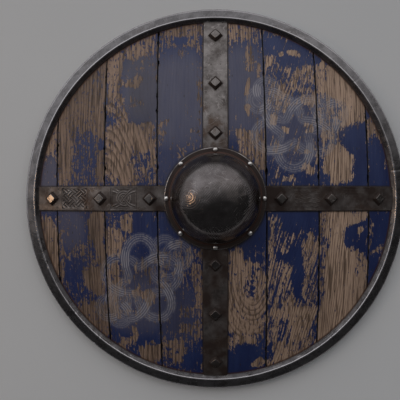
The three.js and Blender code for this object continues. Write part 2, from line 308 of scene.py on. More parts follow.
# Per board, soft patches laid one over the other: middle x and y, half sizes, and how much bare wood shows
# there, from 0 for sound paint to 100 for none.
WEAR = [
    [(-331, 120, 22, 50, 78), (-331, 45, 22, 34, 12), (-331, -34, 22, 16, 18), (-331, -105, 22, 62, 93)],
    [
        (-262, 240, 60, 75, 72), (-262, 150, 60, 50, 78), (-298, 80, 16, 60, 86), (-258, 72, 26, 55, 40),
        (-222, 110, 12, 100, 85), (-223, 98, 9, 10, 10), (-262, -60, 60, 45, 17), (-231, -80, 18, 75, 90),
        (-268, -108, 44, 22, 50), (-285, -150, 26, 26, 25), (-238, -160, 24, 28, 90),
        (-268, -192, 34, 20, 35), (-243, -245, 45, 42, 80), (-297, -70, 16, 30, 25),
        (-308, -110, 6, 60, 60),
    ],
    [
        (-160, 300, 55, 40, 60), (-150, 258, 42, 18, 25), (-198, 240, 18, 70, 72), (-142, 200, 34, 52, 8),
        (-160, 228, 18, 14, 68), (-150, 190, 13, 9, 50), (-190, 175, 22, 30, 66), (-165, 88, 50, 66, 90),
        (-148, 152, 22, 14, 18), (-130, 128, 18, 20, 80), (-136, 60, 24, 32, 48), (-186, -50, 30, 30, 35),
        (-172, -40, 14, 14, 75), (-135, -60, 26, 42, 5), (-196, -95, 16, 34, 78), (-198, -122, 12, 9, 20),
        (-150, -115, 30, 30, 16), (-138, -138, 20, 16, 50), (-196, -185, 18, 55, 72),
        (-150, -190, 34, 42, 34), (-148, -180, 9, 16, 72), (-127, -192, 10, 18, 75),
        (-155, -262, 45, 24, 12), (-178, -287, 14, 10, 70), (-163, -272, 6, 12, 70),
        (-128, -305, 24, 24, 90),
    ],
    [
        (-68, 328, 45, 20, 72), (-68, 300, 45, 16, 50), (-65, 306, 12, 8, 10), (-68, 195, 45, 90, 2),
        (-29, 195, 7, 40, 50), (-101, 138, 11, 24, 55), (-38, 132, 9, 9, 45), (-85, 70, 28, 40, 14),
        (-62, 88, 10, 8, 50), (-84, -55, 30, 34, 10), (-68, -80, 10, 9, 50), (-100, -140, 14, 42, 50),
        (-62, -130, 20, 40, 42), (-34, -160, 11, 58, 66), (-80, -215, 36, 40, 14), (-55, -212, 14, 14, 55),
        (-60, -250, 16, 12, 60), (-34, -248, 9, 20, 60), (-84, -300, 26, 28, 66), (-44, -322, 20, 22, 5),
    ],
    [
        (42, 322, 22, 32, 70), (76, 322, 18, 26, 50), (50, 215, 44, 85, 3), (64, 272, 14, 20, 60),
        (61, 218, 5, 22, 75), (61, 178, 5, 13, 70), (84, 258, 8, 14, 50), (86, 150, 10, 40, 45),
        (60, 112, 24, 18, 72), (75, 78, 28, 26, 72), (76, -55, 26, 42, 2), (36, -112, 14, 22, 80),
        (74, -110, 24, 18, 20), (60, -200, 44, 74, 86), (70, -160, 14, 28, 50), (52, -282, 34, 14, 66),
        (60, -320, 44, 32, 2), (86, -322, 12, 12, 75),
    ],
    [
        (145, 300, 55, 36, 5), (135, 326, 26, 6, 45), (156, 292, 12, 9, 75), (128, 286, 7, 5, 70),
        (104, 268, 12, 10, 70), (140, 215, 42, 44, 55), (182, 245, 16, 24, 55), (182, 190, 18, 18, 70),
        (118, 255, 10, 26, 35), (146, 110, 54, 52, 16), (120, 150, 8, 8, 70), (132, 128, 6, 8, 70),
        (181, 131, 8, 8, 70), (108, 95, 10, 18, 45), (146, 45, 52, 22, 8), (184, 52, 22, 11, 62),
        (116, 42, 8, 16, 50), (138, 32, 10, 8, 70), (176, 88, 6, 7, 70), (192, 84, 6, 40, 50),
        (148, -40, 54, 22, 2), (114, -44, 14, 18, 48), (122, -76, 26, 24, 42), (186, -85, 14, 14, 55),
        (150, -110, 32, 18, 4), (184, -112, 16, 28, 62), (107, -160, 9, 60, 62), (136, -160, 16, 44, 60),
        (161, -165, 11, 36, 10), (184, -175, 15, 40, 55), (148, -245, 54, 50, 78), (128, -262, 24, 30, 45),
        (165, -212, 12, 10, 90), (150, -315, 54, 24, 75), (106, -302, 7, 18, 20),
    ],
    [
        (215, 292, 26, 18, 5), (250, 230, 60, 46, 95), (212, 250, 12, 30, 75), (228, 170, 34, 32, 50),
        (275, 170, 26, 40, 88), (228, 115, 36, 26, 40), (222, 124, 12, 10, 72), (280, 80, 30, 64, 2),
        (236, 62, 32, 36, 93), (209, 30, 8, 16, 30), (250, -36, 56, 16, 88), (208, -40, 10, 20, 50),
        (232, -150, 36, 120, 90), (208, -150, 8, 90, 48), (276, -72, 28, 26, 3), (282, -66, 7, 9, 72),
        (262, -170, 42, 70, 93), (285, -128, 14, 24, 66), (235, -260, 60, 60, 93), (204, -200, 5, 34, 30),
    ],
    [
        (325, 130, 26, 26, 85), (330, 70, 30, 50, 2), (330, -60, 30, 40, 3), (309, -100, 14, 6, 50),
        (330, -108, 9, 14, 60), (320, -145, 26, 34, 8), (343, 70, 5, 16, 50), (306, -66, 5, 16, 50),
    ],
]

# Per board, how its growth rings run: the middle of the log, then where an arch of rings starts, how fast
# it closes and over what length, up for + and down for -, and how far the grain slants (across per along).
RINGS = [
    (-350, 0, 0.0, 1, 1, 0.02), (-285, 200, 0.12, 150, 1, -0.01), (-216, -50, 0.34, 240, 1, 0.0),
    (-150, -60, 0.2, 150, -1, 0.01), (70, -140, 0.5, 130, -1, 0.0), (70, -60, 0.1, 200, -1, 0.3),
    (150, -40, 0.12, 300, -1, 0.05), (330, 0, 0.1, 100, 1, 0.02),
]

# Per board, how close its rings lie, how far the wear follows them, and how dark its bare wood is made.
RING_PACE = [1.0, 1.0, 0.95, 1.1, 1.15, 1.1, 1.5, 1.0]
BANDED = [0.1, 0.12, 0.2, 0.1, 0.32, 0.42, 0.3, 0.1]
BARE_DARKNESS = [0.44, 0.68, 0.52, 0.64, 0.37, 0.18, 0.2, 0.42]

# Pale haze over the paint, partly as weather leaves and partly a painted sheen on the upper boards, and dull
# dark soot over paint and wood alike. Each patch is a middle x and y, half sizes, and an amount in percent.
HAZE_AND_SHEEN = [
    (-68, 190, 70, 95, 62), (50, 210, 50, 90, 60), (-145, 220, 42, 70, 62), (-335, 45, 25, 40, 60),
    (145, 130, 60, 60, 40), (-285, -60, 30, 40, 40), (-150, -205, 60, 60, 50), (-75, -225, 45, 60, 30),
    (-70, 60, 45, 40, 20), (-260, 235, 60, 60, 35), (225, 165, 40, 40, 35),
]
SOOT = [
    (-140, 195, 32, 62, 38), (-150, 262, 40, 20, 30), (-262, 250, 50, 60, 15), (-150, -135, 40, 26, 25),
    (40, -70, 30, 30, 15), (-255, -90, 40, 60, 15), (-75, -215, 30, 50, 20),
]


def patch(x, y, middle_x, middle_y, half_x, half_y, softness):
    """1 inside a soft-edged rounded patch, 0 outside."""
    q = abs((x - middle_x) / half_x) ** 2.6 + abs((y - middle_y) / half_y) ** 2.6
    return 1 - smooth(1 - softness, 1 + softness, q)


def strongest(spots, x, y):
    """The strongest of some patches at each point, from 0 to 1."""
    level = np.zeros_like(x)
    for *spot, percent in spots:
        level = np.maximum(level, patch(x, y, *spot, softness=0.8) * (percent / 100))
    return level


def wear_share(board, x, y):
    """How much bare wood shows at points on a board, from 0 to 1."""
    x, y = x + 7 * noise2(x, y, 30, 51, 3), y + 12 * noise2(x, y, 34, 52, 3)
    share = np.full_like(x, 0.3)
    for *spot, percent in WEAR[board]:
        m = patch(x, y, *spot, softness=0.75)
        share = share * (1 - m) + (percent / 100) * m
    return share


def ring_distance(board, u, v):
    """Distance from the log's middle, as the growth rings on a board's face show it."""
    middle, start, closing, length, way, slant = RINGS[board]
    lift = closing * np.clip(way * (v - start), 0, length)
    side = u - middle - slant * v + 4 * noise2(u * 0.6, v * 0.16, 26, 60 + board, 2)
    return np.sqrt(side**2 + lift**2) + 2 * noise2(u, v * 0.3, 40, 70 + board, 2)


# ---- Boards: the faded interlace painted on two quarters ----

RIBBON_HALF = 9.6
KNOT_STEPS = 1400


def knot(middle, size, swing, turn, lobes):
    """A rosette knot: a line that goes twice round its middle, and whether it weaves over or under itself."""
    t = np.linspace(0, 4 * math.pi, KNOT_STEPS, endpoint=False)
    radius = 1 + swing * np.cos(lobes * t / 2)
    x = middle[0] + size[0] * radius * np.cos(t + turn)
    y = middle[1] + size[1] * radius * np.sin(t + turn)
    return np.stack([x, y], -1), np.sin(lobes * t / 2)


KNOTS = [
    knot((-142, -160), (52, 58), 0.46, 0.35, 5), knot((-196, -214), (22, 24), 0.5, 1.1, 3),
    knot((-86, -112), (24, 26), 0.5, 0.2, 3), knot((152, 132), (54, 50), 0.46, 0.9, 5),
    knot((222, 164), (22, 24), 0.5, 0.2, 3), knot((98, 196), (22, 22), 0.5, 1.5, 3),
]


def interlace(x, y):
    """Where the painted ribbons run: the place across the ribbon, and 1 on it or 0 off."""
    across = np.zeros_like(x)
    on = np.zeros_like(x)
    for curve, level in KNOTS:
        low, high = curve.min(0) - 2 * RIBBON_HALF, curve.max(0) + 2 * RIBBON_HALF
        near = np.flatnonzero((x > low[0]) & (x < high[0]) & (y > low[1]) & (y < high[1]))
        if not len(near):
            continue
        points = np.stack([x[near], y[near]], -1)
        away = np.linalg.norm(points[:, None] - curve[None], axis=2)
        best = np.where(away < RIBBON_HALF, 10 * level[None] - 0.1 * away, -50 - away).argmax(1)
        ahead = np.roll(curve, -1, 0) - np.roll(curve, 1, 0)
        ahead /= np.linalg.norm(ahead, axis=1, keepdims=True)
        offset = points - curve[best]
        here = 1 - smooth(RIBBON_HALF - 1, RIBBON_HALF + 0.6, np.linalg.norm(offset, axis=1))
        shown = here > on[near]
        across[near[shown]] = (offset[:, 0] * ahead[best, 1] - offset[:, 1] * ahead[best, 0])[shown]
        on[near[shown]] = here[shown]
    return across, on


# ---- Boards: their meshes ----

BOARD_REACH = 371.0  # to where the boards end inside the rim
BOARD_CELL = (1.35, 3.2)  # across and along
HALF_SEAM = 0.6  # half the gap between two boards
EDGE_STEPS = [0, 0.35, 0.8, 1.5, 2.4]  # columns next to a board's long edges
RING_GROOVES = 8.0  # from one groove of the grain to the next


def board_grid(index):
    """A board's left and right edges, its points u across and v along, and its quads."""
    edges = [-BOARD_REACH, *SEAMS, BOARD_REACH]
    left = edges[index] + (HALF_SEAM if index else 0)
    right = edges[index + 1] - (HALF_SEAM if index < len(SEAMS) else 0)
    count = max(2, round((right - left - 2 * EDGE_STEPS[-1]) / BOARD_CELL[0]))
    inner = np.linspace(left + EDGE_STEPS[-1], right - EDGE_STEPS[-1], count + 1)[1:-1]
    u = np.concatenate([left + np.array(EDGE_STEPS), inner, right - np.array(EDGE_STEPS)[::-1]])
    nearest = 0 if left < 0 < right else min(abs(left), abs(right))
    rows = 2 * round(math.sqrt(BOARD_REACH**2 - nearest**2) / BOARD_CELL[1]) + 1
    half = np.sqrt(np.maximum((BOARD_REACH + 1.5) ** 2 - u**2, 0))
    v = np.linspace(-1, 1, rows)[:, None] * half[None]
    return left, right, np.broadcast_to(u, v.shape).ravel(), v.ravel(), grid_quads(rows, len(u))


def board_mesh(index):
    left, right, u, v, quads = board_grid(index)

    # The hand hole: quads inside it go, and the points round it move onto its edge.
    distance = np.hypot(u, v)
    inside = distance < HAND_HOLE_RADIUS
    quads = quads[~inside[quads].all(1)]
    pull = np.where(inside, HAND_HOLE_RADIUS / np.maximum(distance, 1e-6), 1)
    x0, y0 = u * pull, v * pull

    # The long edges wander and are chipped here and there.
    from_left, from_right = x0 - left, right - x0
    seam = np.minimum(from_left, from_right)
    side = np.sign(from_left - from_right)
    wander = 0.34 * noise2(side * 40, v, 22, 80 + index, 3)
    chip = np.clip(noise2(side * 90, v, 10, 90 + index, 3) - 0.45, 0, 1) * 3.5
    inward = np.where(from_left < from_right, 1, -1) * (0.1 + wander + chip) * (1 - smooth(0, 3, seam))
    near_hole = 1 - smooth(HAND_HOLE_RADIUS, HAND_HOLE_RADIUS + 12, np.hypot(x0, y0))
    x0 = x0 + inward * (1 - near_hole)

    # The faces cup, drop at the edges, and are grooved along the rings, dented and stringy.
    ring = ring_distance(index, x0, y0) * RING_PACE[index]
    cup = 0.25 * ((x0 - (left + right) / 2) / ((right - left) / 2)) ** 2
    edge_drop = 0.6 * (1 - smooth(0, 1.3, seam)) * (1 - near_hole)
    grooves = 0.16 * (0.5 + 0.5 * np.cos(2 * math.pi * ring / RING_GROOVES)) ** 3
    dents = 0.5 * np.clip(noise2(x0, y0 * 0.6, 26, 100 + index, 2) - 0.62, 0, 1)
    fibre = 0.07 * noise2(x0, y0 * 0.12, 4, 110 + index, 2)
    lowered = 0.12 + cup + edge_drop + grooves + dents + abs(fibre)

    x = x0 * math.cos(SEAM_LEAN) - y0 * math.sin(SEAM_LEAN)
    y = x0 * math.sin(SEAM_LEAN) + y0 * math.cos(SEAM_LEAN)
    z = face_z(np.hypot(x, y))
    top = np.stack([x, y, z - lowered], -1)
    bottom = np.stack([x, y, z - PLANK_THICKNESS + 0.1 + 0.5 * grooves + 0.4 * dents], -1)

    across, on = interlace(x, y)
    data = {
        "grain": np.stack([ring, x0, y0 + 900 * index], -1) * MM,
        "soot": strongest(SOOT, x, y),
        "wear": wear_share(index, x, y),
        "haze_and_sheen": strongest(HAZE_AND_SHEEN, x, y),
        "bare_darkness": np.full_like(x, BARE_DARKNESS[index]),
        "banded": np.full_like(x, BANDED[index]),
        "ribbon": np.stack([across, on, 0 * on], -1),
        "seam": np.clip(seam / 8, 0, 1),
    }
    both = {key: np.concatenate([values, values]) for key, values in data.items()}
    both["front"] = np.repeat([1.0, 0.0], len(top))
    points, closed = slab(top, bottom, quads)
    return mesh_object(f"board_{index + 1}", *drop_unused(points, closed, both))


# ---- Materials ----


def painted_wood():
    g = Graph("painted_wood")
    grain = g.vector("grain")  # across the growth rings, across the board and along it
    ring, _, _ = g.split(grain)
    spot = g.place()
    x, y, _ = g.split(spot)
    front, wear = g.number("front"), g.number("wear")

    # Fibres run along the board; the rings carry the broader light and dark.
    fibres = g.noise(grain, (0, 900, 60), 4.0, 0.6)
    streaks = g.noise(grain, (120, 260, 14), 3.0, 0.55)
    tone = g.noise(grain, (0, 14, 3), 2.0)
    phase = g.add(g.mul(ring, 170), g.mul(g.noise(grain, (70, 0, 6), 2.0), 1.2))
    saw = g.math("FRACT", phase)
    shown = g.step(g.noise(grain, (40, 26, 6)), 0.28, 0.54)
    late = g.mul(g.step(saw, 0.3, 0.85), g.step(saw, 1.0, 0.88), shown)
    wood = g.mix(g.step(tone, 0.3, 0.7), (0.435, 0.303, 0.222), (0.302, 0.206, 0.15))
    wood = g.mix(g.mul(late, 0.85), wood, (0.10, 0.062, 0.04))
    wood = g.mix(g.mul(g.step(fibres, 0.45, 0.66), 0.5), wood, (0.46, 0.345, 0.26))
    wood = g.mix(g.mul(g.step(streaks, 0.52, 0.36), 0.88), wood, (0.085, 0.054, 0.036))
    wood = g.mix(1.0, wood, g.mix(g.number("bare_darkness"), (1.5, 1.48, 1.46), (0.25, 0.21, 0.2)), "MULTIPLY")

    # Paint comes off in flakes, in streaks along the fibres and along the rings.
    flakes = g.noise(grain, (0, 90, 58), 6.0, 0.72, 0.3)
    threads = g.noise(grain, (0, 340, 46), 4.0, 0.68)
    banded = g.noise(grain, (190, 0, 11), 3.0, 0.6)
    fine = g.noise(grain, (0, 210, 130), 3.0, 0.65)
    field = g.add(g.mul(flakes, 0.31), g.mul(threads, 0.31), g.mul(fine, 0.38))
    field = g.blend(g.number("banded"), field, banded)
    left_on = g.less(field, g.blend(wear, 0.405, 0.595))
    sound = g.step(left_on, -0.005, 0.007)

    # Flecks of paint stay on bare wood, and small chips are gone from sound paint.
    flecks = g.step(g.noise(grain, (0, 330, 120), 2.0), 0.585, 0.635)
    flecked = g.mul(g.step(g.noise(grain, (0, 22, 13), 3.0, 0.6), 0.4, 0.56), g.step(wear, 0.97, 0.7))
    sound = g.most(sound, g.mul(flecks, flecked))
    chips = g.step(g.noise(grain, (0, 230, 150), 3.0, 0.6), 0.37, 0.34)
    chipped = g.mul(g.step(g.noise(grain, (0, 19, 15), 3.0, 0.6), 0.42, 0.6), g.step(wear, 0.02, 0.2))
    sound = g.mul(sound, g.less(1.0, g.mul(chips, chipped)), front)

    hue = g.noise(grain, (0, 30, 9), 3.0, 0.6)
    paint = g.mix(g.step(hue, 0.3, 0.7), (0.0095, 0.019, 0.088), (0.019, 0.034, 0.119))
    thin = g.step(left_on, 0.05, 0.0)
    paint = g.mix(g.mul(thin, g.mul(g.step(fibres, 0.4, 0.6), 0.45)), paint, (0.075, 0.075, 0.105))
    # Pale haze over the paint: partly weathering, partly a painted sheen.
    haze_and_sheen = g.mul(g.number("haze_and_sheen"), g.blend(g.noise(grain, (0, 80, 16), 4.0, 0.6), 0.55, 1.28))
    paint = g.mix(haze_and_sheen, paint, (0.14, 0.13, 0.164))
    colour = g.mix(sound, wood, paint)

    soot = g.mul(g.number("soot"), g.blend(g.noise(grain, (0, 50, 20), 4.0, 0.65), 0.4, 1.5))
    colour = g.mix(g.mul(soot, front), colour, (0.052, 0.042, 0.04))

    # The interlace: ribbons of parallel pale lines, rubbed away in places.
    across, on, _ = g.split(g.vector("ribbon"))
    wave = g.math("PINGPONG", g.add(across, 32.0), 2.13)
    lines = g.blend(g.step(wave, 0.6, 1.4), 1.0, 0.3)
    rubbed = g.step(g.noise(grain, (0, 40, 28), 5.0, 0.7), 0.3, 0.46)
    art = g.mul(on, lines, rubbed, g.mul(front, g.blend(sound, 0.62, 0.85)))
    colour = g.mix(art, colour, (0.36, 0.34, 0.365))

    # Dark seams; a dark band beside the straps and round the flange, partly dirt and partly painted contact
    # shadow; rust inside the rim.
    seam_width = g.blend(g.noise(grain, (0, 40, 55), 4.0, 0.7), -0.12, 0.34)
    seam = g.step(g.less(g.number("seam"), seam_width), 0.06, -0.04)
    # A painted contact shadow, with some dirt, beside the straps' edges and round the flange.
    by_straps = [g.step(g.math("ABSOLUTE", axis), 0.0275, 0.0245) for axis in (x, y)]
    r = g.length(x, y)
    by_metal = g.most(*by_straps, g.step(r, 0.103, 0.0975))
    dirt_and_shadow = g.mul(g.most(seam, g.mul(by_metal, front, 0.75)), 0.85)
    colour = g.mix(dirt_and_shadow, colour, (0.016, 0.012, 0.010))
    rust = g.mul(g.step(r, 0.3478, 0.3508), front, g.blend(g.noise(spot, 90.0), 0.5, 1.0))
    colour = g.mix(rust, colour, (0.07, 0.026, 0.014))
    pits = g.mul(g.step(g.cells(g.scaled(grain, 0, 60, 24), 1.0), 0.09, 0.03), front)
    colour = g.mix(g.mul(pits, 0.8), colour, (0.03, 0.022, 0.018))

    roughness = g.blend(sound, 0.66, 0.47)
    relief = g.bump(g.add(g.mul(fibres, 0.5), g.mul(late, 0.5)), 0.0006, 0.55)
    relief = g.bump(g.mul(sound, g.blend(fibres, 0.85, 1.0)), 0.0005, 0.8, relief)
    g.shade(Base_Color=colour, Roughness=roughness, Normal=relief, IOR=1.45)
    return g.material


def swirls(g, spot, x, y, centre):
    """Height of the fine scratches round a place on the boss: rings near it, crossing lines further out."""
    away = g.length(g.add(x, -centre[0]), g.add(y, -centre[1]))
    wander = g.mul(g.noise(spot, 60.0, 2.0), 0.003)
    ringed = g.mul(g.step(away, 0.036, 0.02), g.step(away, 0.001, 0.008))
    rings = g.mul(g.math("PINGPONG", g.add(away, wander), 0.0021), ringed)
    slanting, rising = (
        g.math("PINGPONG", g.add(g.mul(g.add(x, g.mul(y, slope)), pace), g.mul(wander, 2.0)), spacing)
        for slope, pace, spacing in ((-0.8, 0.78, 0.0017), (0.9, 0.74, 0.0019))
    )
    lined = g.mul(g.step(away, 0.022, 0.036), g.step(g.noise(spot, 34.0, 2.0), 0.36, 0.5))
    lines = g.mul(g.blend(g.step(g.noise(spot, 26.0, 1.0), 0.44, 0.56), slanting, rising), lined)
    return g.mul(g.add(rings, g.mul(lines, 1.5)), 420.0)


def worn_steel(
    name, dark, light, roughness, rust, scratch=(900.0, 60.0, 200.0), hammer=55.0, swirl=None, hatched=False
):
    """Old steel: mottled, scratched, brown where pitted, darkened with grime and painted shade, edges bright
    with wear and painted highlight.

    Where `swirl` names a place on the boss, fine rings are worn round it, and rust sits at the dome's foot.
    A `hatched` piece is scratched outward from the shield's middle."""
    g = Graph(name)
    spot = g.place()
    x, y, _ = g.split(spot)
    r = g.length(x, y)
    mottle = g.noise(spot, 38.0, 5.0, 0.62)
    cloud = g.noise(spot, 11.0)
    scratches = g.noise(spot, scratch, 2.0)
    crossing = g.noise(spot, (scratch[1], scratch[0], scratch[2]), 2.0)
    curls = g.math("ABSOLUTE", g.less(g.noise(spot, 55.0, 1.0, 0.5, 0.6), 0.5))
    hairs = g.mul(g.step(curls, 0.014, 0.004), g.step(g.noise(spot, 60.0, 2.0), 0.45, 0.55))
    scored = g.most(g.step(scratches, 0.64, 0.74), g.step(crossing, 0.66, 0.76))
    if hatched:
        turn = g.mul(g.math("ARCTAN2", y, x), 0.37)
        ruled = g.noise(g.join(g.add(turn, g.mul(r, 0.5)), r, 0.0), (620.0, 70.0, 1.0), 3.0, 0.6)
        scored = g.most(g.mul(scored, 0.6), g.step(ruled, 0.55, 0.7))
    scored = g.most(scored, hairs)
    colour = g.mix(g.step(mottle, 0.3, 0.7), dark, light)
    stain = g.mul(g.step(cloud, 0.48, 0.72), g.mul(g.step(mottle, 0.6, 0.4), rust))
    colour = g.mix(stain, colour, (0.11, 0.06, 0.035))
    colour = g.mix(g.mul(scored, 0.4), colour, tuple(min(1, 1.8 * c) for c in light))
    # Bright edges: partly worn steel, partly a painted highlight, as on the rim's outer corner and the
    # flange's edge.
    worn = g.step(g.add(g.number("edge"), g.mul(g.add(mottle, -0.5), 0.9)), 0.4, 0.9)
    colour = g.mix(worn, colour, tuple(min(1, 2.1 * c) for c in light))
    # A share from the mesh darkens the steel: grime and patina, and painted shade along edges, at the feet of
    # studs and rivets and over whole straps.
    grime_and_shade = g.number("grime_and_shade")
    grimed_and_shaded = g.mul(grime_and_shade, g.blend(mottle, 0.75, 1.15))
    colour = g.mix(grimed_and_shaded, colour, (0.036, 0.0245, 0.021))
    pits = g.step(g.cells(spot, 260.0), 0.16, 0.05)
    if swirl:
        from_foot = g.math("ABSOLUTE", g.add(r, -(BOSS_RADIUS + 2.2) * MM))
        foot = g.mul(g.step(from_foot, 0.0026, 0.0008), g.blend(mottle, 0.3, 1.0))
        colour = g.mix(foot, colour, (0.075, 0.034, 0.024))
        grimed_and_shaded = g.most(grimed_and_shaded, foot)
    elif not hatched:
        holes = g.mul(g.step(g.cells(spot, 105.0), 0.17, 0.09), g.step(g.noise(spot, 24.0, 2.0), 0.47, 0.6))
        pits = g.most(pits, holes)
    colour = g.mix(g.mul(pits, 0.5), colour, (0.03, 0.024, 0.02))
    spread = 0.04 if swirl else 0.1
    rough = g.add(g.blend(mottle, roughness - spread, roughness + spread), g.mul(grime_and_shade, 0.25))
    rough = g.math("SUBTRACT", rough, g.mul(worn, 0.12), clamp=True)
    relief = g.bump(g.noise(spot, hammer, 2.0), 0.0012, 0.16 if swirl else 0.35)
    fine = g.noise(spot, 420.0, 3.0, 0.6)
    relief = g.bump(g.add(g.mul(fine, 0.5), g.mul(scored, -0.6)), 0.0002, 0.5, relief)
    relief = g.bump(pits, 0.0004, 0.25 if swirl else 0.6, relief)
    if swirl:
        relief = g.bump(swirls(g, spot, x, y, swirl), 0.0002, 1.0, relief)
    metal = g.math("SUBTRACT", 1.0, grimed_and_shaded, clamp=True)
    g.shade(Base_Color=colour, Metallic=metal, Roughness=rough, Normal=relief, Specular_IOR_Level=0.12)
    return g.material


def bare_wood():
    g = Graph("grip_wood")
    spot = g.place()
    fibres = g.noise(spot, (45, 900, 900), 4.0, 0.6)
    bands = g.noise(spot, (8, 130, 130), 3.0, 0.5, 0.4)
    hand = g.number("edge")
    colour = g.mix(g.step(bands, 0.35, 0.65), (0.17, 0.105, 0.062), (0.085, 0.05, 0.03))
    colour = g.mix(g.mul(g.step(fibres, 0.45, 0.7), 0.4), colour, (0.24, 0.16, 0.10))
    colour = g.mix(g.mul(hand, 0.6), colour, (0.045, 0.028, 0.018))
    g.shade(Base_Color=colour, Roughness=g.blend(hand, 0.62, 0.4), Normal=g.bump(fibres, 0.0004, 0.5))
    return g.material


PAINTED = painted_wood()
RIM_STEEL = worn_steel(
    "rim_steel", (0.11, 0.104, 0.106), (0.185, 0.176, 0.18), 0.28, 0.16, (380.0, 55.0, 200.0), 70.0,
    hatched=True,
)
STRAP_STEEL = worn_steel("strap_steel", (0.08, 0.07, 0.066), (0.24, 0.218, 0.21), 0.36, 0.5)
BOSS_STEEL = worn_steel(
    "boss_steel", (0.1, 0.089, 0.087), (0.166, 0.151, 0.149), 0.16, 0.45, (300.0, 90.0, 300.0), 42.0,
    swirl=(-0.047, 0.003),
)
STUD_STEEL = worn_steel("stud_steel", (0.12, 0.105, 0.1), (0.22, 0.2, 0.19), 0.2, 0.3)
RIVET_STEEL = worn_steel("rivet_steel", (0.52, 0.49, 0.47), (0.8, 0.77, 0.74), 0.27, 0.1)
GRIP_WOOD = bare_wood()

for board in range(len(SEAMS) + 1):
    place(board_mesh(board), PAINTED, "painted_boards", f"plank_{board + 1}")


# ---- Profiles ----


def rounded(corners, steps):
    """A line through (radius, height, rounding) corners, each rounded by that much: points, corner share."""
    points, share = [], []
    corners = [np.array(c, float) for c in corners]
    for i, corner in enumerate(corners):
        cut = corner[2]
        if cut <= 0 or i in (0, len(corners) - 1):
            points.append(corner[:2])
            share.append(0.0)
            continue
        before, after = corners[i - 1][:2] - corner[:2], corners[i + 1][:2] - corner[:2]
        a = corner[:2] + before / np.linalg.norm(before) * cut
        b = corner[:2] + after / np.linalg.norm(after) * cut
        for t in np.linspace(0, 1, steps + 1):
            points.append((1 - t) ** 2 * a + 2 * t * (1 - t) * corner[:2] + t * t * b)
            share.append(1.0)
    return np.array(points), np.array(share)


def denser(points, share, longest):
    """Splits a line's long stretches, so that no step is longer than `longest`."""
    out, kept = [points[0]], [share[0]]
    for a, b, e in zip(points[:-1], points[1:], share[1:]):
        n = max(1, math.ceil(np.linalg.norm(b - a) / longest))
        for k in range(1, n + 1):
            out.append(a + (b - a) * k / n)
            kept.append(e if k == n else 0.0)
    return np.array(out), np.array(kept)


def revolved(radius, theta, height):
    """Points from their distance from the shield's axis, their angle round it and their height."""
    return np.stack([radius * np.cos(theta), radius * np.sin(theta), height], -1).reshape(-1, 3)


# ---- Rim ----

NOTCH = STRAP_WIDTH / 2 + 0.4  # half the room left for a strap under the rim and the flange
RIDGE_RADIUS, RIDGE_RISE = 359.2, 8.1  # the rim's highest line, over its foot
BEVEL_RUN, BEVEL_RISE = 2.4, 2.5  # the steep edge at its foot
CORNER_DROP = 2  # from its foot down to its outer corner
LIP_RADIUS = 357  # where the fold behind the boards ends
RIM_COLUMNS = 1080
RIM_NICKS = [  # degrees, half width and depth
    (-130, 2.2, 1.3), (-141, 1.6, 1.0), (111, 2.0, 1.0), (9, 2.4, 1.1), (-228, 1.4, 0.8), (-62, 3.0, 0.8),
    (40, 1.8, 0.7),
]


def rim_profile(foot, lip_z):
    """The rim's closed section from its lip outward: (radius, height) points and their share of a corner."""
    ridge_z = foot + RIDGE_RISE
    outer, corner_z = RIM_RADIUS - 0.15, foot - CORNER_DROP
    corners = [
        (LIP_RADIUS, lip_z - 1.95, 0), (371.5, 0.05, 1), (outer - 1, 0.05, 1.6),
        (outer, corner_z - 0.2, 3.2), (RIDGE_RADIUS, ridge_z, 1.5),
        (RIM_FOOT_RADIUS + BEVEL_RUN, foot + BEVEL_RISE, 0.8), (RIM_FOOT_RADIUS, foot, 0.3),
        (353.5, foot, 0), (359.5, ridge_z - 2.5, 0), (378, corner_z - 2.5, 0),
        (378, 2, 0), (372, 2, 0), (LIP_RADIUS, lip_z, 0),
    ]
    return denser(*rounded(corners, 5), 2.6)


